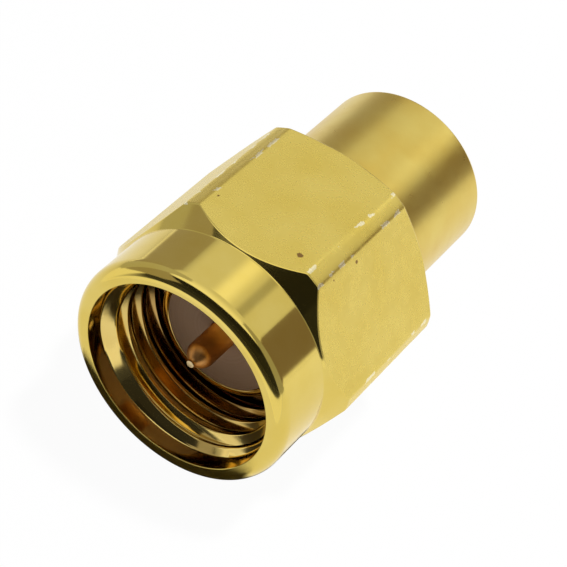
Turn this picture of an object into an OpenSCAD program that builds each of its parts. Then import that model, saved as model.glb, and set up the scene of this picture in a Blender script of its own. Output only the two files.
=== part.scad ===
// Coaxial SMA plug made up as a termination: a captive hexagonal coupling nut turns on a plain
// round body, and a resistor inside the body ends the line that starts at the centre contact.
//
// Frame: millimetres, +Z up. The axis lies along Y with the open mouth towards -Y. The origin is
// the centre of the reference plane, the front face of the outer conductor. The part lies on one
// flat of its hexagon. Every turned piece is a profile of radius against distance behind that plane.

/* [Coupling nut] */
// Width of the hexagon across its flats
hex_flats = 8.0; // [7.8:0.1:8.6]
// Diameter of the round bar, which leaves a turned land on each corner of the hexagon
corner_d = 8.95; // [8.7:0.05:9.1]
// Overall length of the nut
nut_len = 8.0; // [7.8:0.1:9]
// How far the nut's front stands ahead of the reference plane when it is pulled forward
nut_lead = 2.43; // [2.2:0.01:2.6]
// Diameter of the round collar in front of the hexagon
collar_d = 7.86; // [7.5:0.02:7.9]
// Length of the round collar
collar_len = 2.2; // [1.8:0.1:2.6]
// Radius of the collar's rounded front edge
collar_edge_r = 0.26; // [0.1:0.02:0.3]
// Length of the cone that runs from the collar up to the corner lands
front_cone_len = 0.68; // [0.4:0.04:1]
// Length of the chamfer cone at the rear of the hexagon
rear_cone_len = 0.28; // [0.1:0.02:0.5]
// Diameter of the mouth at the nut's front face
mouth_d = 6.64; // [6.5:0.02:6.8]
// Depth of the plain counterbore in the mouth, up to the thread's lead-in
mouth_depth = 0.62; // [0.4:0.02:0.8]
// Minor diameter of the coupling thread
thread_minor_d = 5.74; // [5.7:0.02:5.8]
// Distance from the nut's front to the end of the thread
thread_end = 3.9; // [3.4:0.1:4.1]
// Diameter of the run-out groove behind the thread
relief_d = 6.44; // [6.36:0.02:6.6]
// Wall of the nut between the run-out groove and the ring groove
ring_lip = 0.36; // [0.3:0.02:0.4]

/* [Retaining ring] */
// Width of the split ring along the axis
ring_w = 0.5; // [0.4:0.05:0.55]
// How deep the ring's groove is cut into the body
ring_seat = 0.26; // [0.22:0.02:0.3]
// How deep the ring's groove is cut into the nut
ring_bite = 0.38; // [0.26:0.02:0.42]
// Width of the split in the ring
ring_split = 1.3; // [0.8:0.1:2]
// Free travel of the nut along the body
nut_play = 0.2; // [0.1:0.02:0.3]

/* [Body] */
// Diameter of the body's plain barrel
barrel_d = 6.1; // [5.8:0.05:6.15]
// Distance from the reference plane to the body's rear face
body_len = 10.6; // [10:0.1:14]
// Radius of the rounded edge at the rear of the barrel
barrel_edge_r = 0.12; // [0.06:0.02:0.3]
// Outer diameter of the ferrule that enters the mating jack
ferrule_d = 4.57; // [4.54:0.01:4.6]
// Distance from the reference plane to the front of the gasket
ferrule_len = 1.85; // [1.7:0.05:1.9]
// How far the land behind the ferrule narrows towards the shoulder, to hold the gasket
gasket_undercut = 0.1; // [0.04:0.02:0.14]
// Chamfer on the ferrule's front edges
ferrule_edge = 0.06; // [0.02:0.01:0.08]
// Distance from the gasket's seat to the body's ring groove
ring_setback = 0.8; // [0.7:0.05:1]
// Bore of the cavity that holds the bead's flange, the sleeve and the plug
cavity_d = 5.0; // [4.9:0.05:5.1]
// Chamfer at the rear mouths of the body's cavity and of the nut
rear_edge = 0.1; // [0.04:0.02:0.16]

/* [Gasket] */
// Width of the gasket's section, from the ferrule out
gasket_w = 0.515; // [0.4:0.005:0.54]
// Thickness of the gasket
gasket_t = 0.8; // [0.6:0.05:0.9]
// Radius of the gasket's rounded edges
gasket_edge_r = 0.15; // [0.05:0.01:0.2]

/* [Bead and contact] */
// Outer diameter of the insulating bead, which is the bore of the ferrule
bead_d = 4.1; // [3.9:0.05:4.2]
// Length of the bead's front part
bead_len = 3.0; // [2.6:0.1:3.2]
// Length of the flange behind it, which seats on the step of the body's cavity
bead_flange = 0.6; // [0.4:0.1:0.9]
// Diameter of the centre contact's pin
pin_d = 0.91; // [0.9:0.01:0.94]
// How far the pin stands out of the reference plane
pin_len = 1.65; // [1.4:0.05:1.9]
// Length of the pin's rounded tip
pin_taper = 0.52; // [0.34:0.02:0.7]
// Diameter of the flat end of the tip
pin_tip_d = 0.26; // [0.16:0.02:0.4]
// Diameter of the contact where it passes through the bead
stem_d = 1.27; // [1.2:0.01:1.32]
// Length of the cup behind the bead, which grips the resistor's front cap
cup_len = 1.3; // [1:0.1:1.5]
// Wall of that cup
cup_wall = 0.2; // [0.15:0.01:0.3]
// Floor of that cup, up to the bead
cup_floor = 0.35; // [0.2:0.05:0.5]

/* [Resistor] */
// Diameter of the ceramic core
core_d = 1.1; // [0.9:0.05:1.2]
// Length of the ceramic core
core_len = 3.4; // [3:0.1:3.8]
// Wall and end thickness of the two pressed caps
cap_wall = 0.15; // [0.1:0.01:0.2]
// Length of each cap
cap_len = 0.8; // [0.6:0.05:1]

/* [Matching sleeve and plug] */
// Bore of the sleeve at its front, around the contact's cup
sleeve_front_d = 3.4; // [3:0.1:3.6]
// Bore of the sleeve at its rear, around the resistor's rear cap
sleeve_rear_d = 1.9; // [1.7:0.1:2.4]
// Length of the socket in the plug that takes the resistor's rear cap
socket_len = 0.55; // [0.4:0.05:0.6]
// How far the plug's outer face lies inside the rear of the barrel
plug_recess = 0.12; // [0:0.02:0.3]
// Chamfer on the plug's edges
plug_edge = 0.12; // [0.06:0.02:0.2]

/* [Fits] */
// Radial clearance of the nut on the barrel
run_gap = 0.05; // [0.03:0.01:0.08]
// Clearance of the ring in its grooves
ring_gap = 0.03; // [0.02:0.01:0.05]
// Radial clearance of the pieces that are seated in one another
seat_gap = 0.01; // [0.005:0.005:0.02]

/* [Hidden] */
$fn = 96;
eps = 0.5;

// Stations along the axis, measured back from the reference plane
nut_front = -nut_lead;
nut_rear = nut_front + nut_len;
gasket_seat = ferrule_len + gasket_t;
body_groove = gasket_seat + ring_setback;
ring_front = body_groove + ring_gap;
body_groove_w = ring_w + nut_play + 2 * ring_gap;
nut_groove = ring_front - ring_gap;
nut_groove_w = ring_w + 2 * ring_gap;
nut_shoulder = nut_groove - ring_lip;
cavity_step = bead_len;
bead_rear = bead_len + bead_flange;
cup_rear = bead_rear + cup_len;
core_front = bead_rear + cup_floor + cap_wall;
core_rear = core_front + core_len;
rear_cap_end = core_rear + cap_wall;
plug_front = rear_cap_end - socket_len;
plug_rear = body_len - plug_recess;

// Radii that follow from the fits
barrel_r = barrel_d / 2;
guide_r = barrel_r + run_gap;
ring_in_r = barrel_r - ring_seat + ring_gap;
ring_out_r = guide_r + ring_bite - ring_gap;
ferrule_r = ferrule_d / 2;
gasket_r = ferrule_r + gasket_w;
bore_r = bead_d / 2;
cavity_r = cavity_d / 2;
pin_r = pin_d / 2;
stem_r = stem_d / 2;
cap_r = core_d / 2 + seat_gap + cap_wall;
cup_in_r = cap_r + seat_gap;
cup_out_r = cup_in_r + cup_wall;

// Turns a profile about the axis: x is the radius and y the station
module turned() {
    rotate([-90, 0, 0]) rotate_extrude() children();
}

// A plain band of a profile, between two radii and two stations
module band(r0, r1, y0, y1) {
    translate([r0, y0]) square([r1 - r0, y1 - y0]);
}

// What a rounded outer edge takes off the corner at radius r; side is 1 where the metal lies behind it
module edge_round(r, y, edge_r, side) {
    translate([r - edge_r, y]) mirror([0, side < 0 ? 1 : 0]) difference() {
        translate([0, -eps]) square([edge_r + eps, edge_r + eps]);
        translate([0, edge_r]) circle(r = edge_r);
    }
}

// What a 45 degree chamfer takes off a corner at radius r; out is 1 on an outer edge, -1 on a bore's
module edge_chamfer(r, y, size, side, out = 1) {
    polygon([
        [r - out * size, y],
        [r + out * eps, y + side * (size + eps)],
        [r + out * eps, y - side * eps],
        [r - out * size, y - side * eps]
    ]);
}

// Nut -------------------------------------------------------------------------------------------

// Outside of the nut as it leaves the lathe, before the flats are milled
module nut_bar() {
    cone_front = nut_front + collar_len;
    difference() {
        polygon([
            [0, nut_front],
            [collar_d / 2, nut_front],
            [collar_d / 2, cone_front],
            [corner_d / 2, cone_front + front_cone_len],
            [corner_d / 2, nut_rear - rear_cone_len],
            [hex_flats / 2, nut_rear],
            [0, nut_rear]
        ]);
        edge_round(collar_d / 2, nut_front, collar_edge_r, 1);
    }
}

// Everything the boring bar takes out: mouth, lead-in, thread bore, run-out, guide and ring groove
module nut_bore() {
    mouth_floor = nut_front + mouth_depth;
    lead_in = (mouth_d - thread_minor_d) / 2;
    thread_rear = nut_front + thread_end;
    runout = (relief_d - thread_minor_d) / 2;
    polygon([
        [0, nut_front - eps],
        [mouth_d / 2, nut_front - eps],
        [mouth_d / 2, mouth_floor],
        [thread_minor_d / 2, mouth_floor + lead_in],
        [thread_minor_d / 2, thread_rear - runout],
        [relief_d / 2, thread_rear],
        [relief_d / 2, nut_shoulder],
        [guide_r, nut_shoulder],
        [guide_r, nut_rear + eps],
        [0, nut_rear + eps]
    ]);
    band(guide_r - eps, guide_r + ring_bite, nut_groove, nut_groove + nut_groove_w);
    edge_chamfer(guide_r, nut_rear, rear_edge, -1, -1);
}

module coupling_nut() {
    color("goldenrod") difference() {
        intersection() {
            translate([0, nut_front, 0]) rotate([-90, 0, 0])
                linear_extrude(nut_len) circle(d = hex_flats / cos(30), $fn = 6);
            turned() nut_bar();
        }
        turned() nut_bore();
    }
}

// The split ring sits half in the body's groove and half in the nut's, and holds the nut captive
module retaining_ring() {
    color("peru") difference() {
        turned() band(ring_in_r, ring_out_r, ring_front, ring_front + ring_w);
        translate([-ring_split / 2, ring_front - eps, 0])
            cube([ring_split, ring_w + 2 * eps, ring_out_r + eps]);
    }
}

// Body ------------------------------------------------------------------------------------------

module connector_body() {
    color("gold") turned() difference() {
        union() {
            band(0, ferrule_r, 0, ferrule_len);
            gasket_land();
            band(0, barrel_r, gasket_seat, body_len);
        }
        band(-eps, bore_r, -eps, cavity_step);
        band(-eps, cavity_r, cavity_step, body_len + eps);
        band(barrel_r - ring_seat, barrel_r + eps, body_groove, body_groove + body_groove_w);
        edge_chamfer(ferrule_r, 0, ferrule_edge, 1);
        edge_chamfer(bore_r, 0, ferrule_edge, 1, -1);
        edge_chamfer(barrel_r, gasket_seat, ferrule_edge, 1);
        edge_round(barrel_r, body_len, barrel_edge_r, -1);
        edge_chamfer(cavity_r, body_len, rear_edge, -1, -1);
    }
}

// The undercut land behind the ferrule, grown by a clearance where it is cut out of the gasket
module gasket_land(gap = 0) {
    polygon([
        [0, ferrule_len],
        [ferrule_r + gap, ferrule_len],
        [ferrule_r - gasket_undercut + gap, gasket_seat],
        [0, gasket_seat]
    ]);
}

// The gasket is stretched over the ferrule onto its land and lies on the body's shoulder
module gasket() {
    color("orangered") turned() difference() {
        band(0, gasket_r, ferrule_len, gasket_seat);
        gasket_land(seat_gap);
        edge_round(gasket_r, ferrule_len, gasket_edge_r, 1);
        edge_round(gasket_r, gasket_seat, gasket_edge_r, -1);
    }
}

// Inside the body -------------------------------------------------------------------------------

// The bead's face is level with the reference plane, and its flange seats on the cavity's step
module insulating_bead() {
    color("white") turned() difference() {
        union() {
            band(0, bore_r - seat_gap, 0, bead_len);
            band(0, cavity_r - seat_gap, bead_len, bead_rear);
        }
        band(-eps, stem_r + seat_gap, -eps, bead_rear + eps);
    }
}

// Pin, stem and cup are turned as one. The stem's front shoulder is level with the bead's face
module centre_contact() {
    // The tip is one arc, tangent to the pin, that runs in to the flat end
    tip_drop = pin_r - pin_tip_d / 2;
    tip_arc = (pow(tip_drop, 2) + pow(pin_taper, 2)) / (2 * tip_drop);
    taper_y = pin_taper - pin_len;
    color("darkgoldenrod") turned() difference() {
        union() {
            intersection() {
                band(0, pin_r, -pin_len, taper_y);
                translate([pin_r - tip_arc, taper_y]) circle(r = tip_arc);
            }
            band(0, pin_r, taper_y, 0);
            band(0, stem_r, 0, bead_rear);
            band(0, cup_out_r, bead_rear, cup_rear);
        }
        band(-eps, cup_in_r, bead_rear + cup_floor, cup_rear + eps);
        edge_chamfer(cup_out_r, cup_rear, cup_wall / 2, -1);
    }
}

// A cap pressed over one end of the core: floor at one station, open towards the other
module resistor_cap(floor_y, dir) {
    floor_in = floor_y + dir * cap_wall;
    open_y = floor_y + dir * cap_len;
    color("silver") turned() difference() {
        band(0, cap_r, min(floor_y, open_y), max(floor_y, open_y));
        band(-eps, core_d / 2 + seat_gap, min(floor_in, open_y + dir * eps), max(floor_in, open_y + dir * eps));
    }
}

module resistor_front_cap() {
    resistor_cap(core_front - cap_wall, 1);
}

module resistor_rear_cap() {
    resistor_cap(rear_cap_end, -1);
}

module resistor_core() {
    color("ivory") turned() band(0, core_d / 2, core_front, core_rear);
}

// The sleeve narrows the cavity from the bead to the plug, so the line keeps its match as it ends
module matching_sleeve() {
    color("burlywood") turned() difference() {
        band(0, cavity_r - seat_gap, bead_rear, plug_front);
        polygon([
            [-eps, bead_rear - eps],
            [sleeve_front_d / 2, bead_rear - eps],
            [sleeve_front_d / 2, cup_rear],
            [sleeve_rear_d / 2, plug_front],
            [sleeve_rear_d / 2, plug_front + eps],
            [-eps, plug_front + eps]
        ]);
    }
}

// The plug closes the rear of the body and grounds the resistor's rear cap in its socket
module rear_plug() {
    color("gold") turned() difference() {
        band(0, cavity_r - seat_gap, plug_front, plug_rear);
        band(-eps, cap_r + seat_gap, plug_front - eps, rear_cap_end);
        edge_chamfer(cavity_r - seat_gap, plug_rear, plug_edge, -1);
    }
}

coupling_nut();
retaining_ring();
gasket();
connector_body();
insulating_bead();
centre_contact();
resistor_front_cap();
resistor_core();
resistor_rear_cap();
matching_sleeve();
rear_plug();
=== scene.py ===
import math
import bmesh
import bpy
from mathutils import Matrix, Vector


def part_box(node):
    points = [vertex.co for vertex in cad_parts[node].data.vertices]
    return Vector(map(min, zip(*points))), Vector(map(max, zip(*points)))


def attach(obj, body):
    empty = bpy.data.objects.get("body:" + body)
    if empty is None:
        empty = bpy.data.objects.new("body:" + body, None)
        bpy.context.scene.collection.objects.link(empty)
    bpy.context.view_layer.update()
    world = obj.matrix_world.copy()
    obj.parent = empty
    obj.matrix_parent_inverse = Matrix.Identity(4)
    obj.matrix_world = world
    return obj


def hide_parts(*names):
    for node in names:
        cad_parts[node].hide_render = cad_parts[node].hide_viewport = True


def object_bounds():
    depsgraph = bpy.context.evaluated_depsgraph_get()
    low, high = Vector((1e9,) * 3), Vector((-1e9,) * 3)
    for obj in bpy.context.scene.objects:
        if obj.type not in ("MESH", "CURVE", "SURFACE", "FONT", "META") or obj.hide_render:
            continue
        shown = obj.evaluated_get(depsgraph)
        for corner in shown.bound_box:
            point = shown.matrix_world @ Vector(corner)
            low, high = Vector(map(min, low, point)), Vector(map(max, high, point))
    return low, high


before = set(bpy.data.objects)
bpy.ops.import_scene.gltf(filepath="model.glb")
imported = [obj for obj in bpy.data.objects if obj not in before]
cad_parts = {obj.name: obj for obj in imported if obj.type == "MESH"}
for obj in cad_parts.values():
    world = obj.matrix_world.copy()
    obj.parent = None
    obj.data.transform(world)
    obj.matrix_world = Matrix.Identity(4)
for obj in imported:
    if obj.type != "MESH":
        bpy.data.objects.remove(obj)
cad_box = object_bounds()


# ---------------------------------------------------------------------------
# Connector body
# The outer conductor, turned from brass bar and plated with gold: a ferrule at
# the front, a shoulder for the gasket, and a plain barrel with a fine turned finish.
# ---------------------------------------------------------------------------
MM = 0.001
MICRON = 1e-6


def in_mm(node):
    """The low and the high corner of a CAD node's box, in millimetres."""
    low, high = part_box(node)
    return [v / MM for v in low], [v / MM for v in high]


def rounded(corners):
    """A closed outline from corners of (radius, station, rounding); each rounding is a true arc."""
    # a rounding takes no more than this share of either side
    most = 0.48
    outline = []
    for i, (radius, station, size) in enumerate(corners):
        corner = Vector((radius, station))
        if size <= 0:
            outline.append((radius, station))
            continue
        to_last = Vector(corners[i - 1][:2]) - corner
        to_next = Vector(corners[(i + 1) % len(corners)][:2]) - corner
        reach = min(size, to_last.length * most, to_next.length * most)
        weight = math.sin(to_last.angle(to_next) / 2)
        start = corner + to_last.normalized() * reach
        end = corner + to_next.normalized() * reach
        steps = 8 if size > 0.1 else 4
        for k in range(steps + 1):
            t = k / steps
            parts = ((1 - t) ** 2, 2 * weight * t * (1 - t), t ** 2)
            point = (start * parts[0] + corner * parts[1] + end * parts[2]) / sum(parts)
            outline.append((point.x, point.y))
    return outline


def add_column(bm, angle, points):
    """New vertices for points of (radius, station), at one angle round the axis."""
    return [bm.verts.new((r * math.sin(angle), y, r * math.cos(angle))) for r, y in points]


def finish_mesh(name, bm, body):
    """Closes the seams of a mesh made in millimetres, smooths it and puts it on its body."""
    seam = 2e-5
    bmesh.ops.remove_doubles(bm, verts=bm.verts, dist=seam)
    bmesh.ops.dissolve_degenerate(bm, edges=bm.edges, dist=seam)
    bmesh.ops.recalc_face_normals(bm, faces=bm.faces)
    bmesh.ops.scale(bm, verts=bm.verts, vec=(MM, MM, MM))
    mesh = bpy.data.meshes.new(name)
    bm.to_mesh(mesh)
    bm.free()
    mesh.shade_smooth()
    piece = bpy.data.objects.new(name, mesh)
    bpy.context.collection.objects.link(piece)
    piece.modifiers.new("even shading", "WEIGHTED_NORMAL").weight = 80
    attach(piece, body)
    return piece


def turned(name, outline, sides):
    """A piece from the lathe: a closed outline of (radius, station) spun about the axis."""
    bm = bmesh.new()
    columns = [add_column(bm, 2 * math.pi * k / sides, outline) for k in range(sides)]
    on_axis = [radius < 1e-6 for radius, station in outline]
    for k in range(sides):
        here, there = columns[k], columns[(k + 1) % sides]
        for i in range(len(outline)):
            j = (i + 1) % len(outline)
            if not (on_axis[i] and on_axis[j]):
                bm.faces.new((here[i], here[j], there[j], there[i]))
    return finish_mesh(name, bm, "plug_body")


def shader_group(name, inputs, outputs):
    """An empty shader node group with named sockets, and its two end nodes."""
    group = bpy.data.node_groups.new(name, "ShaderNodeTree")
    for label, kind, value in inputs:
        socket = group.interface.new_socket(label, in_out="INPUT", socket_type=kind)
        socket.default_value = value
    for label, kind in outputs:
        group.interface.new_socket(label, in_out="OUTPUT", socket_type=kind)
    return group, group.nodes.new("NodeGroupInput"), group.nodes.new("NodeGroupOutput")


def maths(tree, operation, first, *others):
    """A math node, or a chain of them for three values or more; each is a socket or a number."""
    for second in others or (None,):
        node = tree.nodes.new("ShaderNodeMath")
        node.operation = operation
        for slot, value in zip(node.inputs, (first, second)):
            if isinstance(value, (int, float)):
                slot.default_value = value
            elif value is not None:
                tree.links.new(value, slot)
        first = node.outputs[0]
    return first


def ramp(tree, value, start, end, top=1.0, shape="LINEAR"):
    """Runs from 0 at the start to the top at the end, and stays level beyond both."""
    node = tree.nodes.new("ShaderNodeMapRange")
    node.interpolation_type = shape
    node.inputs["From Min"].default_value = start
    node.inputs["From Max"].default_value = end
    node.inputs["To Max"].default_value = top
    tree.links.new(value, node.inputs["Value"])
    return node.outputs[0]


def blend(tree, mask, first, second):
    """From the first colour to the second by a mask; each is a socket or three numbers."""
    node = tree.nodes.new("ShaderNodeMix")
    node.data_type = "RGBA"
    tree.links.new(mask, node.inputs["Factor"])
    for label, colour in (("A", first), ("B", second)):
        if isinstance(colour, tuple):
            node.inputs[label].default_value = (*colour, 1)
        else:
            tree.links.new(colour, node.inputs[label])
    return node.outputs["Result"]


def noise(tree, vector, scale, detail, dimensions="3D"):
    """A noise texture; on one dimension the vector is a plain number socket."""
    node = tree.nodes.new("ShaderNodeTexNoise")
    node.noise_dimensions = dimensions
    node.inputs["Scale"].default_value = scale
    node.inputs["Detail"].default_value = detail
    tree.links.new(vector, node.inputs["W" if dimensions == "1D" else "Vector"])
    return node.outputs["Fac"]


def place_in_mm(tree):
    """The surface's own place on the connector, in millimetres."""
    here = tree.nodes.new("ShaderNodeTexCoord")
    scaled = tree.nodes.new("ShaderNodeVectorMath")
    scaled.operation = "SCALE"
    scaled.inputs["Scale"].default_value = 1 / MM
    tree.links.new(here.outputs["Object"], scaled.inputs[0])
    return scaled.outputs[0]


def parts_of(tree, vector):
    """The sockets "X", "Y" and "Z" of a vector."""
    node = tree.nodes.new("ShaderNodeSeparateXYZ")
    tree.links.new(vector, node.inputs[0])
    return node.outputs


def distance_from_axis(tree, at):
    """The radius at which a place lies, from its three parts."""
    squares = [maths(tree, "MULTIPLY", at[label], at[label]) for label in ("X", "Z")]
    return maths(tree, "SQRT", maths(tree, "ADD", *squares))


def make_turning_marks():
    """The fine rings that a lathe tool leaves, round a barrel and across an end face."""
    group, given, result = shader_group(
        "turning marks",
        [("Rings per mm", "NodeSocketFloat", 20.0), ("Waviness", "NodeSocketFloat", 0.3)],
        [("Height", "NodeSocketFloat")])
    place = place_in_mm(group)
    at = parts_of(group, place)
    along = maths(group, "ADD", at["Y"], distance_from_axis(group, at))
    drift = maths(group, "MULTIPLY", noise(group, place, scale=0.8, detail=1.0),
                  given.outputs["Waviness"])
    feed = maths(group, "MULTIPLY", maths(group, "ADD", along, drift),
                 given.outputs["Rings per mm"])
    rings = noise(group, feed, scale=1.0, detail=2.0, dimensions="1D")
    group.links.new(rings, result.inputs["Height"])
    return group


def make_metal_skin():
    """Plated or bare metal: its colour drifts to a deeper tone, and it dulls in patches."""
    group, given, result = shader_group(
        "metal skin",
        [("Colour", "NodeSocketColor", (0.8, 0.62, 0.24, 1)),
         ("Deeper colour", "NodeSocketColor", (0.7, 0.5, 0.16, 1)),
         ("Least roughness", "NodeSocketFloat", 0.2),
         ("Dulling", "NodeSocketFloat", 0.1)],
        [("Color", "NodeSocketColor"), ("Roughness", "NodeSocketFloat")])
    place = place_in_mm(group)
    clouds = ramp(group, noise(group, place, scale=0.7, detail=4.0), 0.35, 0.7)
    colour = blend(group, clouds, given.outputs["Colour"], given.outputs["Deeper colour"])
    group.links.new(colour, result.inputs["Color"])
    haze = maths(group, "MULTIPLY", noise(group, place, scale=3.0, detail=5.0),
                 given.outputs["Dulling"])
    roughness = maths(group, "ADD", haze, given.outputs["Least roughness"])
    group.links.new(roughness, result.inputs["Roughness"])
    return group


def place_group(tree, group, **values):
    """Places a group in a material with its own values, named by the group's sockets."""
    node = tree.nodes.new("ShaderNodeGroup")
    node.node_tree = group
    for label, value in values.items():
        node.inputs[label.replace("_", " ")].default_value = value
    return node


def new_material(name, slot, metallic=0.0, roughness=0.5):
    """A material with its Principled shader, ready for the nodes that vary it."""
    material = bpy.data.materials.new(name)
    material.use_nodes = True
    shader = material.node_tree.nodes["Principled BSDF"]
    shader.inputs["Metallic"].default_value = metallic
    shader.inputs["Roughness"].default_value = roughness
    material["slot"] = slot
    return material, material.node_tree, shader


def add_bump(tree, shader, height, microns):
    """Feeds a height that varies from 0 to 1 into the shader's normal, as so many microns."""
    bump = tree.nodes.new("ShaderNodeBump")
    bump.inputs["Distance"].default_value = microns * MICRON
    tree.links.new(height, bump.inputs["Height"])
    tree.links.new(bump.outputs["Normal"], shader.inputs["Normal"])


turning_marks = make_turning_marks()
metal_skin = make_metal_skin()


def smooth_metal(name, slot, colour, deeper, roughness, dulling):
    """A metal that still lacks the marks its tool left."""
    material, tree, shader = new_material(name, slot, metallic=1.0)
    skin = place_group(tree, metal_skin, Colour=(*colour, 1), Deeper_colour=(*deeper, 1),
                       Least_roughness=roughness, Dulling=dulling)
    tree.links.new(skin.outputs["Color"], shader.inputs["Base Color"])
    tree.links.new(skin.outputs["Roughness"], shader.inputs["Roughness"])
    return material, tree, shader


def turned_metal(name, slot, colour, deeper, roughness, dulling, rings, microns):
    """A metal from the lathe, with so many fine rings to the millimetre, so many microns deep."""
    material, tree, shader = smooth_metal(name, slot, colour, deeper, roughness, dulling)
    marks = place_group(tree, turning_marks, Rings_per_mm=rings, Waviness=0.3)
    add_bump(tree, shader, marks.outputs["Height"], microns)
    return material


def dress(piece, material, *nodes):
    """Gives a piece its material and hides the CAD nodes that it takes the place of."""
    piece.data.materials.append(material)
    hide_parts(*nodes)


seat_gap = 0.01
body_high = in_mm("connector_body")[1]
body_rear = body_high[1]
barrel_r = body_high[0]
gasket_low, gasket_high = in_mm("gasket")
ferrule_r = 2.285
gasket_undercut = 0.1
bead_high = in_mm("insulating_bead")[1]
bead_bore_r = 2.05
bead_flange = 0.6
bead_step = bead_high[1] - bead_flange
cavity_r = bead_high[0] + seat_gap
ring_setback = 0.8
groove_front = gasket_high[1] + ring_setback
groove_w = 0.76
groove_depth = 0.26
groove_r = barrel_r - groove_depth
barrel_round = 0.12

body_outline = rounded([
    (bead_bore_r, 0.0, 0.04),
    (ferrule_r, 0.0, 0.06),
    (ferrule_r, gasket_low[1], 0.01),
    (ferrule_r - gasket_undercut, gasket_high[1], 0.0),
    (barrel_r, gasket_high[1], 0.06),
    (barrel_r, groove_front, 0.02),
    (groove_r, groove_front, 0.02),
    (groove_r, groove_front + groove_w, 0.02),
    (barrel_r, groove_front + groove_w, 0.02),
    (barrel_r, body_rear, barrel_round),
    (cavity_r, body_rear, 0.1),
    (cavity_r, bead_step, 0.02),
    (bead_bore_r, bead_step, 0.02)])

satin_gold = turned_metal("satin gold plate", "body_gold",
                          colour=(0.77, 0.595, 0.15), deeper=(0.73, 0.525, 0.11),
                          roughness=0.24, dulling=0.12, rings=26.0, microns=0.9)
body = turned("turned_body", body_outline, sides=192)
dress(body, satin_gold, "connector_body")
# the ferrule is burnished where it meets the other half
ferrule_gold = turned_metal("burnished ferrule plate", "body_gold",
                            colour=(0.70, 0.48, 0.15), deeper=(0.64, 0.41, 0.11),
                            roughness=0.07, dulling=0.05, rings=30.0, microns=0.3)
body.data.materials.append(ferrule_gold)
burnished = body.data.materials.find(ferrule_gold.name)
for face in body.data.polygons:
    if face.center.y / MM < gasket_high[1]:
        face.material_index = burnished


# ---------------------------------------------------------------------------
# Insulating bead
# A faced bead of plastic pressed into the ferrule, level with the
# reference plane; a flange at its rear seats on the step of the body's cavity.
# Its dark brown is painted shade: the dim, gold-tinted light deep in the mouth, not the plastic's
# own paler colour.
# ---------------------------------------------------------------------------
bead_r = bead_bore_r - seat_gap
pin_r = 0.455
stem_r = 0.635
# a thin web of the bead covers the stem's shoulder
bead_web = 0.05
bead_outline = rounded([
    (stem_r + seat_gap, bead_web, 0.0),
    (pin_r + seat_gap, bead_web, 0.0),
    (pin_r + seat_gap, 0.0, 0.02),
    (bead_r, 0.0, 0.03),
    (bead_r, bead_step, 0.01),
    (bead_high[0], bead_step, 0.03),
    (bead_high[0], bead_high[1], 0.03),
    (stem_r + seat_gap, bead_high[1], 0.02)])

bead_plastic, tree, shader = new_material("faced bead plastic", "bead_plastic", roughness=0.5)
shader.inputs["Subsurface Weight"].default_value = 0.15
shader.inputs["Subsurface Radius"].default_value = (0.3, 0.25, 0.2)
shader.inputs["Subsurface Scale"].default_value = 0.6 * MM
marks = place_group(tree, turning_marks, Rings_per_mm=14.0, Waviness=0.2)
# painted shade: the bead's two browns are how it looks in the dim, gold-lit mouth, darker than its
# own colour
tree.links.new(blend(tree, marks.outputs["Height"], (0.38, 0.23, 0.13), (0.44, 0.28, 0.17)),
               shader.inputs["Base Color"])
add_bump(tree, shader, marks.outputs["Height"], microns=2.0)
bead = turned("faced_bead", bead_outline, sides=128)
dress(bead, bead_plastic, "insulating_bead")


# ---------------------------------------------------------------------------
# Centre contact
# Pin, stem and cup turned in one from beryllium copper and gold plated. The
# pin's end is rounded in to a small flat, and the cup grips the resistor's cap.
# ---------------------------------------------------------------------------
contact_low, contact_high = in_mm("centre_contact")
tip_r = 0.13
pin_taper = 0.58
pin_front = contact_low[1]
stem_front = bead_web + seat_gap
cup_wall = 0.2
cup_base = 0.35
cup_out_r = contact_high[0]
cup_in_r = cup_out_r - cup_wall
cup_front = bead_high[1]
cup_rear = contact_high[1]
cup_floor = cup_front + cup_base
# the nose, rounded in from the pin and then straight: share of the taper, share of the radius
nose = [(0.0, 1.0), (0.12, 0.985), (0.25, 0.93), (0.38, 0.84), (0.52, 0.70),
        (0.66, 0.53), (0.80, 0.36), (0.88, 0.30), (0.96, 0.285)]
contact_corners = [(0.0, pin_front, 0.0), (tip_r, pin_front, 0.015)]
for along, share in nose[::-1]:
    contact_corners.append((pin_r * share, pin_front + pin_taper * (1 - along), 0.0))
contact_corners += [
    (pin_r, stem_front, 0.0),
    (stem_r, stem_front, 0.02),
    (stem_r, cup_front, 0.01),
    (cup_out_r, cup_front, 0.03),
    (cup_out_r, cup_rear, 0.1),
    (cup_in_r, cup_rear, 0.02),
    (cup_in_r, cup_floor, 0.03),
    (0.0, cup_floor, 0.0)]


def lay_over(material, mask, shade):
    """Lays one more colour over the one that a material has, as far as the mask says."""
    tree = material.node_tree
    base = tree.nodes["Principled BSDF"].inputs["Base Color"]
    tree.links.new(blend(tree, mask, base.links[0].from_socket, shade), base)


contact_gold = turned_metal("contact gold plate", "contact_gold",
                            colour=(0.78, 0.41, 0.14), deeper=(0.70, 0.33, 0.09),
                            roughness=0.36, dulling=0.1, rings=30.0, microns=0.4)
# painted highlight: the pin's end flat is painted paler, for the lit floor that it mirrors
tree = contact_gold.node_tree
tip_highlight_depth = 0.02
station = parts_of(tree, place_in_mm(tree))["Y"]
painted_tip_highlight = maths(tree, "LESS_THAN", station, pin_front + tip_highlight_depth)
lay_over(contact_gold, painted_tip_highlight, (0.90, 0.70, 0.38))
contact = turned("pin_contact", rounded(contact_corners), sides=96)
dress(contact, contact_gold, "centre_contact")


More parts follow.
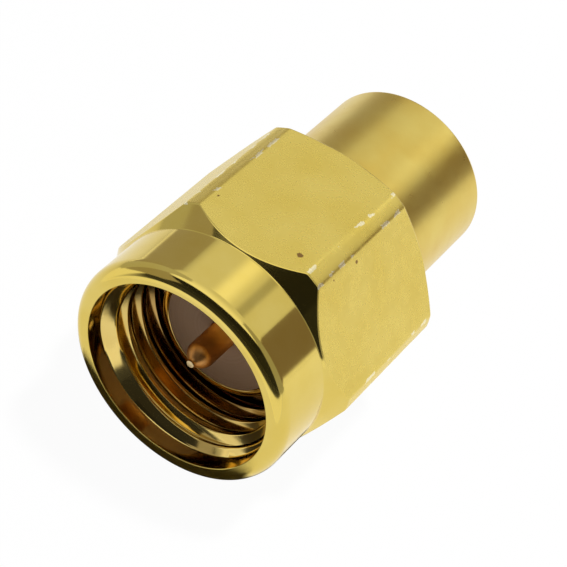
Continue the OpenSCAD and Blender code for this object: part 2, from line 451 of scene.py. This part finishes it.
# ---------------------------------------------------------------------------
# Resistor, matching sleeve and rear plug
# A film resistor on a ceramic core with two pressed caps ends the line. A bare
# brass sleeve tapers round it, and a gold-plated plug closes the barrel behind.
# ---------------------------------------------------------------------------
fired_ceramic, tree, shader = new_material("fired ceramic", "alumina", roughness=0.45)
place = place_in_mm(tree)
speckle = noise(tree, place, scale=6.0, detail=5.0)
tree.links.new(blend(tree, speckle, (0.80, 0.77, 0.68), (0.88, 0.86, 0.80)),
               shader.inputs["Base Color"])
add_bump(tree, shader, noise(tree, place, scale=18.0, detail=3.0), microns=3.0)

tin_plate = turned_metal("tin plated cap", "cap_plating",
                         colour=(0.72, 0.71, 0.68), deeper=(0.62, 0.61, 0.58),
                         roughness=0.3, dulling=0.2, rings=22.0, microns=1.0)
bare_brass = turned_metal("bare turned brass", "sleeve_brass",
                          colour=(0.76, 0.58, 0.26), deeper=(0.66, 0.46, 0.18),
                          roughness=0.28, dulling=0.2, rings=18.0, microns=1.4)


def paint(node, material):
    """Puts a material on a CAD solid that stays as it is."""
    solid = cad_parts[node]
    solid.data.materials.clear()
    solid.data.materials.append(material)


paint("resistor_core", fired_ceramic)
paint("resistor_front_cap", tin_plate)
paint("resistor_rear_cap", tin_plate)
paint("matching_sleeve", bare_brass)

plug_low, plug_high = in_mm("rear_plug")
plug_r = plug_high[0]
plug_bore_r = 0.73
plug_round = 0.12
socket_len = 0.55
socket_floor = plug_low[1] + socket_len
plug_outline = rounded([
    (0.0, socket_floor, 0.0),
    (plug_bore_r, socket_floor, 0.03),
    (plug_bore_r, plug_low[1], 0.04),
    (plug_r, plug_low[1], 0.05),
    (plug_r, plug_high[1], plug_round),
    (0.0, plug_high[1], 0.0)])
plug = turned("closing_plug", plug_outline, sides=160)
dress(plug, satin_gold, "rear_plug")


# ---------------------------------------------------------------------------
# Gasket
# A soft ring of red silicone, moulded, stretched over the ferrule and lying on
# the body's shoulder, where it seals against the mating jack.
# ---------------------------------------------------------------------------
gasket_r = gasket_high[0]
gasket_round = 0.15
gasket_outline = rounded([
    (ferrule_r + seat_gap, gasket_low[1], 0.05),
    (gasket_r, gasket_low[1], gasket_round),
    (gasket_r, gasket_high[1], gasket_round),
    (ferrule_r - gasket_undercut + seat_gap, gasket_high[1], 0.03)])

red_silicone, tree, shader = new_material("moulded silicone", "silicone", roughness=0.55)
shader.inputs["Subsurface Weight"].default_value = 0.1
shader.inputs["Subsurface Scale"].default_value = 0.3 * MM
place = place_in_mm(tree)
bloom = noise(tree, place, scale=2.5, detail=4.0)
tree.links.new(blend(tree, bloom, (0.46, 0.09, 0.035), (0.58, 0.15, 0.06)),
               shader.inputs["Base Color"])
add_bump(tree, shader, noise(tree, place, scale=12.0, detail=3.0), microns=5.0)
gasket = turned("sealing_gasket", gasket_outline, sides=128)
dress(gasket, red_silicone, "gasket")


# ---------------------------------------------------------------------------
# Retaining ring
# A split ring of spring bronze, stamped and left bare. It sits half in the
# body's groove and half in the nut's, so the nut turns but can't come off.
# ---------------------------------------------------------------------------
spring_bronze = turned_metal("bare spring bronze", "spring_bronze",
                             colour=(0.62, 0.40, 0.22), deeper=(0.50, 0.29, 0.15),
                             roughness=0.32, dulling=0.22, rings=12.0, microns=1.5)
paint("retaining_ring", spring_bronze)


# ---------------------------------------------------------------------------
# Coupling nut
# Turned from round brass bar, threaded, grooved, then milled with six flats
# that leave a narrow round land on each corner; polished and gold plated.
# ---------------------------------------------------------------------------
nut_low, nut_high = in_mm("coupling_nut")
nut_front = nut_low[1]
nut_rear = nut_high[1]
flat_r = nut_high[2]
# the solid's facets reach a little further on one side; the land keeps inside both
land_r = min(nut_high[0], -nut_low[0])
collar_r = 3.93
collar_len = 2.2
collar_rear = nut_front + collar_len
front_cone = 0.68
rear_cone = 0.28
mouth_r = 3.32
mouth_depth = 0.62
crest_r = 2.87
root_r = 3.185
pitch = 0.7056
thread_start = 0.3
lead_in_slope = 1.5
thread_front = nut_front + mouth_depth
thread_end = 3.9
relief_r = 3.22
relief_front = nut_front + thread_end
run_gap = 0.05
ring_gap = 0.03
ring_bite = 0.38
ring_lip = 0.36
guide_r = barrel_r + run_gap
ring_low, ring_high = in_mm("retaining_ring")
nut_groove_r = guide_r + ring_bite
nut_groove_front = ring_low[1] - ring_gap
nut_groove_rear = ring_high[1] + ring_gap
nut_shoulder = nut_groove_front - ring_lip
# one of the hexagon's six sectors
sixth = math.pi / 3


def off_flat(angle):
    """How far a direction is from the middle of the nearest flat."""
    return (angle + sixth / 2) % sixth - sixth / 2


def bar_limit(angle):
    """Radius of the milled bar in that direction: a flat, or the round land between two flats."""
    to_flat = flat_r / math.cos(off_flat(angle))
    # the edge between them is eased over this much
    ease = 0.03
    overlap = max(ease - abs(to_flat - land_r), 0) / ease
    return min(to_flat, land_r) - overlap ** 2 * ease / 4


# the lip's outside is rounded back a little more than the turned edge of the solid
lip_deep = 0.36
lip_long = 0.45
lip_steps = 14
lip_rounding = []
for k in range(lip_steps + 1):
    turn = math.pi / 2 / lip_steps * k
    lip_rounding.append((collar_r - lip_deep * (1 - math.sin(turn)),
                         nut_front + lip_long * (1 - math.cos(turn)), 0.0))


def nut_outline(limit):
    """Outline of the nut from its mouth round the outside and back up the bores to the thread."""
    cone_rear = collar_rear + (limit - collar_r) * front_cone / (land_r - collar_r)
    chamfer_r = flat_r - 0.03
    chamfer_front = nut_rear - (limit - chamfer_r) * rear_cone / (land_r - chamfer_r)
    return rounded([
        (mouth_r, thread_front - 0.01, 0.0),
        (mouth_r, nut_front, 0.025),
        *lip_rounding,
        (collar_r, collar_rear, 0.03),
        (limit, cone_rear, 0.05),
        (limit, chamfer_front, 0.05),
        (chamfer_r, nut_rear, 0.02),
        (guide_r, nut_rear, 0.1),
        (guide_r, nut_groove_rear, 0.02),
        (nut_groove_r, nut_groove_rear, 0.02),
        (nut_groove_r, nut_groove_front, 0.02),
        (guide_r, nut_groove_front, 0.02),
        (guide_r, nut_shoulder, 0.02),
        (relief_r, nut_shoulder, 0.02),
        (relief_r, relief_front + 0.02, 0.0)])


# one turn of the 60 degree thread: how far along the pitch, and how deep from crest to root
THREAD_FORM = [(0.0, 0.0), (0.19, 0.0), (0.335, 0.0), (0.36, 0.03), (0.385, 0.10), (0.50, 0.5),
               (0.615, 0.90), (0.64, 0.97), (0.67, 1.0), (0.705, 1.0), (0.735, 0.97),
               (0.76, 0.90), (0.875, 0.5), (0.97, 0.10), (0.985, 0.03)]


def thread_rows(angle):
    """Points down the threaded bore at one angle, from the run-out groove to the mouth."""
    points = []
    for turn in range(math.ceil((relief_front - nut_front) / pitch) + 3):
        for part, depth in THREAD_FORM:
            y = nut_front + pitch * (turn - 2 + part + thread_start + angle / (2 * math.pi))
            y = min(max(y, thread_front), relief_front)
            cut = crest_r + (root_r - crest_r) * depth
            lead_in = mouth_r - lead_in_slope * (y - thread_front)
            runout = relief_r - (relief_front - y)
            points.append((max(cut, lead_in, runout), y))
    return points[::-1]


def nut_angles():
    """Directions round the nut, closer together on each edge between a flat and its land."""
    # in degrees: from one direction to the next, and what is left free round each edge
    step = 1.5
    clear = 0.9
    land = math.degrees(math.acos(flat_r / land_r))
    evenly = [step * k - 30 for k in range(round(60 / step))]
    sector = [a for a in evenly if abs(abs(a) - land) > clear]
    for off in (-0.7, -0.35, 0.0, 0.35, 0.7):
        sector += [land + off, -land - off]
    return sorted(math.radians((60 * k + a) % 360) for k in range(6) for a in sector)


# the nut's finishes, by their place in its list of materials; the first is the polished one
MILLED = 1
BORE = 2


def make_nut():
    """The nut's outside and bores in one skin, with the thread's helix cut into it."""
    bm = bmesh.new()
    columns = [(add_column(bm, angle, nut_outline(bar_limit(angle))),
                add_column(bm, angle, thread_rows(angle))) for angle in nut_angles()]
    for k, (outer, thread) in enumerate(columns):
        next_outer, next_thread = columns[(k + 1) % len(columns)]
        for i in range(len(outer) - 1):
            bm.faces.new((outer[i], outer[i + 1], next_outer[i + 1], next_outer[i]))
        # the thread climbs, so the last column meets the first one a whole turn further on
        shift = len(THREAD_FORM) if k == len(columns) - 1 else 0
        for i in range(len(thread) - 1 - shift):
            bm.faces.new((thread[i + shift], thread[i + shift + 1],
                          next_thread[i + 1], next_thread[i]))
        bm.faces.new((outer[-1], thread[0], next_thread[0], next_outer[-1]))
        bm.faces.new((thread[-1], outer[0], next_outer[0], next_thread[-1]))
    for face in bm.faces:
        face.normal_update()
        middle = face.calc_center_median()
        radius = math.hypot(middle.x, middle.z)
        if radius < mouth_r + 0.002:
            face.material_index = BORE
        # a flat runs along the axis, outside the collar, and lies at the flats' own height
        if face.normal.y ** 2 < 0.05 and radius > collar_r + 0.02:
            height = radius * math.cos(off_flat(math.atan2(middle.x, middle.z)))
            if height < flat_r + 0.004:
                face.material_index = MILLED
    return finish_mesh("threaded_nut", bm, "nut")


polished_gold = turned_metal("polished gold plate", "nut_gold",
                             colour=(0.76, 0.59, 0.15), deeper=(0.72, 0.54, 0.11),
                             roughness=0.07, dulling=0.06, rings=24.0, microns=0.16)
thread_gold = turned_metal("gold plated thread", "nut_gold",
                           colour=(0.80, 0.61, 0.20), deeper=(0.74, 0.53, 0.15),
                           roughness=0.06, dulling=0.07, rings=30.0, microns=0.3)
# painted shade: deeper in the bore the thread is painted darker and browner, for the dim recess
tree = thread_gold.node_tree
station = parts_of(tree, place_in_mm(tree))["Y"]
painted_bore_shade = ramp(tree, station, thread_front + 0.5, thread_front + 2.8, top=0.85)
lay_over(thread_gold, painted_bore_shade, (0.28, 0.12, 0.04))


def ragged(tree, value, place, scale, swing):
    """Moves a value up and down with the place, so that an edge drawn from it is uneven."""
    drift = maths(tree, "SUBTRACT", noise(tree, place, scale, detail=3.0), 0.5)
    return maths(tree, "ADD", value, maths(tree, "MULTIPLY", drift, swing))


def make_edge_wear_and_glint():
    """Plating rubbed bright, with a painted glint, in broken dashes, along each edge between a flat
    and its land.
    """
    group, given, result = shader_group("edge wear and glint", [("Width", "NodeSocketFloat", 0.06)],
                                        [("Worn and glinting", "NodeSocketFloat")])
    place = place_in_mm(group)
    at = parts_of(group, place)
    radius = distance_from_axis(group, at)
    # whole turns and half a sector are added first, so that the remainder is never below zero
    angle = maths(group, "ADD", maths(group, "ARCTAN2", at["X"], at["Z"]),
                  sixth / 2 + 2 * math.pi)
    from_flat = maths(group, "SUBTRACT", maths(group, "MODULO", angle, sixth), sixth / 2)
    across = maths(group, "MULTIPLY", radius,
                   maths(group, "SINE", maths(group, "ABSOLUTE", from_flat)))
    edge = math.sqrt(land_r ** 2 - flat_r ** 2)
    off_edge = maths(group, "ABSOLUTE", maths(group, "SUBTRACT", across, edge))
    line = maths(group, "LESS_THAN", ragged(group, off_edge, place, scale=9.0, swing=0.12),
                 given.outputs["Width"])
    dashes = maths(group, "GREATER_THAN", noise(group, place, scale=1.6, detail=4.0), 0.54)
    outside = maths(group, "GREATER_THAN", radius, land_r - 0.05)
    group.links.new(maths(group, "MULTIPLY", line, dashes, outside), result.inputs["Worn and glinting"])
    return group


def make_digs():
    """A few tiny digs, far apart, that cut through the plating."""
    group, given, result = shader_group("small digs", [("Per mm", "NodeSocketFloat", 1.0)],
                                        [("Dig", "NodeSocketFloat")])
    place = place_in_mm(group)
    cells = group.nodes.new("ShaderNodeTexVoronoi")
    group.links.new(place, cells.inputs["Vector"])
    group.links.new(given.outputs["Per mm"], cells.inputs["Scale"])
    # each cell's own colour says how large its dig is, and more than half have none
    pick = group.nodes.new("ShaderNodeSeparateColor")
    group.links.new(cells.outputs["Color"], pick.inputs[0])
    size = maths(group, "MULTIPLY", maths(group, "SUBTRACT", pick.outputs[0], 0.55), 0.16)
    off_middle = ragged(group, cells.outputs["Distance"], place, scale=14.0, swing=0.09)
    group.links.new(maths(group, "LESS_THAN", off_middle, size), result.inputs["Dig"])
    return group


edge_wear_and_glint = make_edge_wear_and_glint()
digs = make_digs()


def rub_edges_and_glint(material):
    """Lays the rubbed edges, with their painted glint, over a gold that is already made."""
    worn_and_glinting = place_group(material.node_tree, edge_wear_and_glint, Width=0.06).outputs["Worn and glinting"]
    # partly wear, partly painted glint: the pale dashes stand for rubbed plating and for light
    # sparkling on the edges
    lay_over(material, worn_and_glinting, (1.0, 0.90, 0.56))


def mix_surface(tree, first, second):
    """Mixes two shaders on the material's output; returns the socket of the second's share."""
    node = tree.nodes.new("ShaderNodeMixShader")
    tree.links.new(first.outputs[0], node.inputs[1])
    tree.links.new(second.outputs[0], node.inputs[2])
    tree.links.new(node.outputs[0], tree.nodes["Material Output"].inputs["Surface"])
    return node.inputs["Fac"]


milled_gold, tree, shader = smooth_metal("milled gold plate", "nut_gold",
                                         colour=(0.87, 0.69, 0.17), deeper=(0.83, 0.64, 0.135),
                                         roughness=0.18, dulling=0.2)
# the cutter leaves a grain along the flats, over a slow swell and under fine pores
place = place_in_mm(tree)
stretched = tree.nodes.new("ShaderNodeMapping")
stretched.inputs["Scale"].default_value = (1.0, 0.35, 1.0)
tree.links.new(place, stretched.inputs["Vector"])
grain = noise(tree, stretched.outputs[0], scale=5.0, detail=2.5)
swell = maths(tree, "MULTIPLY", noise(tree, place, scale=1.1, detail=2.0), 3.0)
pores = maths(tree, "MULTIPLY", noise(tree, place, scale=22.0, detail=2.0), 0.10)
add_bump(tree, shader, maths(tree, "ADD", grain, swell, pores), microns=0.9)
rub_edges_and_glint(milled_gold)
lay_over(milled_gold, place_group(tree, digs, Per_mm=0.7).outputs["Dig"], (0.30, 0.17, 0.05))
# the milled skin also scatters a share of the light widely
broad = tree.nodes.new("ShaderNodeBsdfPrincipled")
broad.inputs["Metallic"].default_value = 1.0
broad.inputs["Roughness"].default_value = 0.7
tree.links.new(shader.inputs["Base Color"].links[0].from_socket, broad.inputs["Base Color"])
mix_surface(tree, shader, broad).default_value = 0.28
rub_edges_and_glint(polished_gold)

nut = make_nut()
nut.data.materials.append(polished_gold)
nut.data.materials.append(milled_gold)
nut.data.materials.append(thread_gold)
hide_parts("coupling_nut")


# ---------------------------------------------------------------------------
# Floor and light
# A white floor under one soft lamp, above and behind. What the metal mirrors is
# a wide lit ceiling, side cards with a tall window each, and the dark in front.
# ---------------------------------------------------------------------------
floor_z = cad_box[0].z
wall_top = 0.3
side = 0.15
# how bright the lit floor is where metal mirrors it
lit_floor = 1.05


def card(name, low, high, material):
    """A flat upright or level sheet of the studio, from two opposite corners in metres."""
    (x0, y0, z0), (x1, y1, z1) = low, high
    if z0 == z1:
        corners = [(x0, y0, z0), (x1, y0, z0), (x1, y1, z0), (x0, y1, z0)]
    else:
        corners = [(x0, y0, z0), (x1, y1, z0), (x1, y1, z1), (x0, y0, z1)]
    mesh = bpy.data.meshes.new(name)
    mesh.from_pydata(corners, [], [(0, 1, 2, 3)])
    mesh.materials.append(material)
    sheet = bpy.data.objects.new(name, mesh)
    bpy.context.collection.objects.link(sheet)
    return sheet


floor_white, tree, shader = new_material("white floor", "", roughness=0.9)
shader.inputs["Base Color"].default_value = (0.45, 0.45, 0.45, 1)
# its glow is for the camera alone, so no light is sought there
floor_white.cycles.emission_sampling = "NONE"
rays = tree.nodes.new("ShaderNodeLightPath")
glow = tree.nodes.new("ShaderNodeEmission")
glow.inputs["Color"].default_value = (1, 1, 1, 1)
glow_share = 0.965
tree.links.new(maths(tree, "MULTIPLY", rays.outputs["Is Camera Ray"], glow_share),
               mix_surface(tree, shader, glow))
card("floor", (-2, -2, floor_z), (2, 2, floor_z), floor_white)


def mirrored_card(name, low, high, colour):
    """A glowing card that only reflections see, so it throws no light or shadow of its own."""
    material = bpy.data.materials.new(name)
    material.use_nodes = True
    material.cycles.emission_sampling = "NONE"
    tree = material.node_tree
    tree.nodes.clear()
    glow = tree.nodes.new("ShaderNodeEmission")
    glow.inputs["Color"].default_value = (*colour, 1)
    end = tree.nodes.new("ShaderNodeOutputMaterial")
    tree.links.new(glow.outputs[0], end.inputs["Surface"])
    sheet = card(name, low, high, material)
    sheet.visible_camera = False
    sheet.visible_diffuse = False
    sheet.visible_shadow = False
    return tree, glow


def place_in_studio(tree):
    """The three parts of a place in the studio, in metres."""
    return parts_of(tree, tree.nodes.new("ShaderNodeNewGeometry").outputs["Position"])


def fade(tree, value, start, end):
    """Runs smoothly from 0 at the start to 1 at the end."""
    return ramp(tree, value, start, end, shape="SMOOTHSTEP")


def band(tree, value, start, full, past, end):
    """Runs smoothly up from 0 at the start to 1, and down again to 0 at the end."""
    return maths(tree, "MULTIPLY", fade(tree, value, start, full), fade(tree, value, end, past))


def side_card(name, x, front, top, colour):
    """A plain card at the side, which runs up smoothly from the lit floor's own brightness."""
    rear = 0.6
    tree, glow = mirrored_card(name, (x, front, floor_z), (x, rear, top), colour)
    at = place_in_studio(tree)
    foot = fade(tree, at["Z"], floor_z + 0.014, floor_z + 0.003)
    # far in front of the part the card is plain down to the floor
    beside = fade(tree, at["Y"], -0.15, -0.12)
    lit = maths(tree, "MULTIPLY", foot, beside)
    tree.links.new(blend(tree, lit, colour, (lit_floor, lit_floor, lit_floor)),
                   glow.inputs["Color"])


side_card("left_card", -side, -0.225, 0.145, (0.39, 0.36, 0.34))
side_card("right_card", side, -0.02, 0.14, (0.235, 0.19, 0.17))

# a tall lit window on each side, level with the part, and a lit wall behind
window_front = -0.035
window_rear = 0.06
window_lift = 0.001
wall_y = 0.7
for name, x, shade in (("left_window", -side + window_lift, 0.52),
                       ("right_window", side - window_lift, 0.40)):
    mirrored_card(name, (x, window_front, floor_z), (x, window_rear, wall_top),
                  (shade, shade, shade))
mirrored_card("back_card", (-side, wall_y, floor_z), (side, wall_y, wall_top),
              (0.78, 0.76, 0.72))

# a sheet just above the floor that only reflections see: it glows as bright as the lit floor near
# the part and goes dark further in front
sheet_z = floor_z + 0.0002
tree, glow = mirrored_card("dark_beyond", (-0.14, -0.6, sheet_z), (0.4, -0.008, sheet_z),
                           (1, 1, 1))
at = place_in_studio(tree)
# its near edge slants away to the right, as far as 14 mm
slant = maths(tree, "MULTIPLY", maths(tree, "MINIMUM", at["X"], 0.014), 0.45)
beyond = fade(tree, maths(tree, "ADD", at["Y"], slant), -0.0120, -0.0150)
rightward = fade(tree, maths(tree, "SUBTRACT", at["X"], at["Y"]), -0.001, 0.006)
dark = maths(tree, "MULTIPLY", beyond, rightward)
tree.links.new(maths(tree, "SUBTRACT", lit_floor, dark), glow.inputs["Strength"])

# the ceiling: even in the middle and brighter over the part, with two soft stripes further back;
# places on it are given in ceiling heights
height = 0.30
tree, glow = mirrored_card("lit_ceiling", (-1.5 * height, -0.5, height),
                           (1.5 * height, 0.75, height), (1, 1, 1))
at = place_in_studio(tree)
across = maths(tree, "DIVIDE", at["X"], height)
along = maths(tree, "DIVIDE", at["Y"], height)
rightward = maths(tree, "MAXIMUM", maths(tree, "SUBTRACT", across, 0.1), 0.0)
dark_side = maths(tree, "SUBTRACT", along, maths(tree, "MULTIPLY", rightward, 0.25))
nearer = maths(tree, "MULTIPLY", fade(tree, along, 0.35, -0.35), 0.35)
even = maths(tree, "MULTIPLY", band(tree, across, -1.5, -0.75, 1.0, 1.22),
             fade(tree, dark_side, -0.57, -0.49), maths(tree, "ADD", 0.80, nearer))
# the first stripe, with a darker gap on its right
stripe = maths(tree, "MULTIPLY", band(tree, across, -0.28, -0.08, -0.04, 0.22), 0.42)
gap = maths(tree, "MULTIPLY", band(tree, across, 0.20, 0.30, 0.37, 0.48), 0.30)
striped = maths(tree, "MULTIPLY", band(tree, along, 0.46, 0.60, 0.86, 0.93),
                maths(tree, "SUBTRACT", stripe, gap))
# and the second, further back and more to the right
second = maths(tree, "MULTIPLY", band(tree, across, 0.10, 0.35, 0.6, 0.85),
               fade(tree, along, 0.98, 1.12), 0.48)
brightness = maths(tree, "ADD", even, second, striped)
dimmest = 0.02
tree.links.new(maths(tree, "MAXIMUM", brightness, dimmest), glow.inputs["Strength"])

# a square lamp that faces the part
key_light = bpy.data.lights.new("key_lamp", "AREA")
key_light.shape = "SQUARE"
key_light.size = 0.035
key_light.energy = 2.3
key_lamp = bpy.data.objects.new("key_lamp", key_light)
key_lamp.location = (0.057, 0.09, 0.30)
key_lamp.rotation_mode = "QUATERNION"
key_lamp.rotation_quaternion = key_lamp.location.to_track_quat("Z", "Y")
key_lamp.visible_glossy = False
bpy.context.collection.objects.link(key_lamp)

# white for the camera, and nearly dark for everything else
world = bpy.data.worlds.new("studio")
world.use_nodes = True
bpy.context.scene.world = world
tree = world.node_tree
back = tree.nodes["Background"]
back.inputs["Color"].default_value = (1, 1, 1, 1)
rays = tree.nodes.new("ShaderNodeLightPath")
dim = 0.03
white = maths(tree, "MULTIPLY", rays.outputs["Is Camera Ray"], 1 - dim)
tree.links.new(maths(tree, "ADD", white, dim), back.inputs["Strength"])


# ---------------------------------------------------------------------------
# Camera
# Above and to the right of the open mouth, turned a little about its own line
# of sight.
# ---------------------------------------------------------------------------
camera_data = bpy.data.cameras.new("camera")
camera_data.lens = 126.98
camera_data.sensor_width = 36
camera_data.clip_start = 0.005
camera_data.clip_end = 10
camera = bpy.data.objects.new("camera", camera_data)
camera.location = (0.0181354, -0.0379816, 0.0452813)
line_of_sight = Vector((-0.282147, 0.645704, -0.709549))
right = Vector((0.805492, 0.561188, 0.190394))
up = right.cross(line_of_sight)
axes = Matrix((right, up, -line_of_sight)).transposed()
camera.rotation_mode = "QUATERNION"
camera.rotation_quaternion = axes.to_quaternion()
bpy.context.collection.objects.link(camera)
scene = bpy.context.scene
scene.camera = camera
scene.view_settings.view_transform = "Standard"
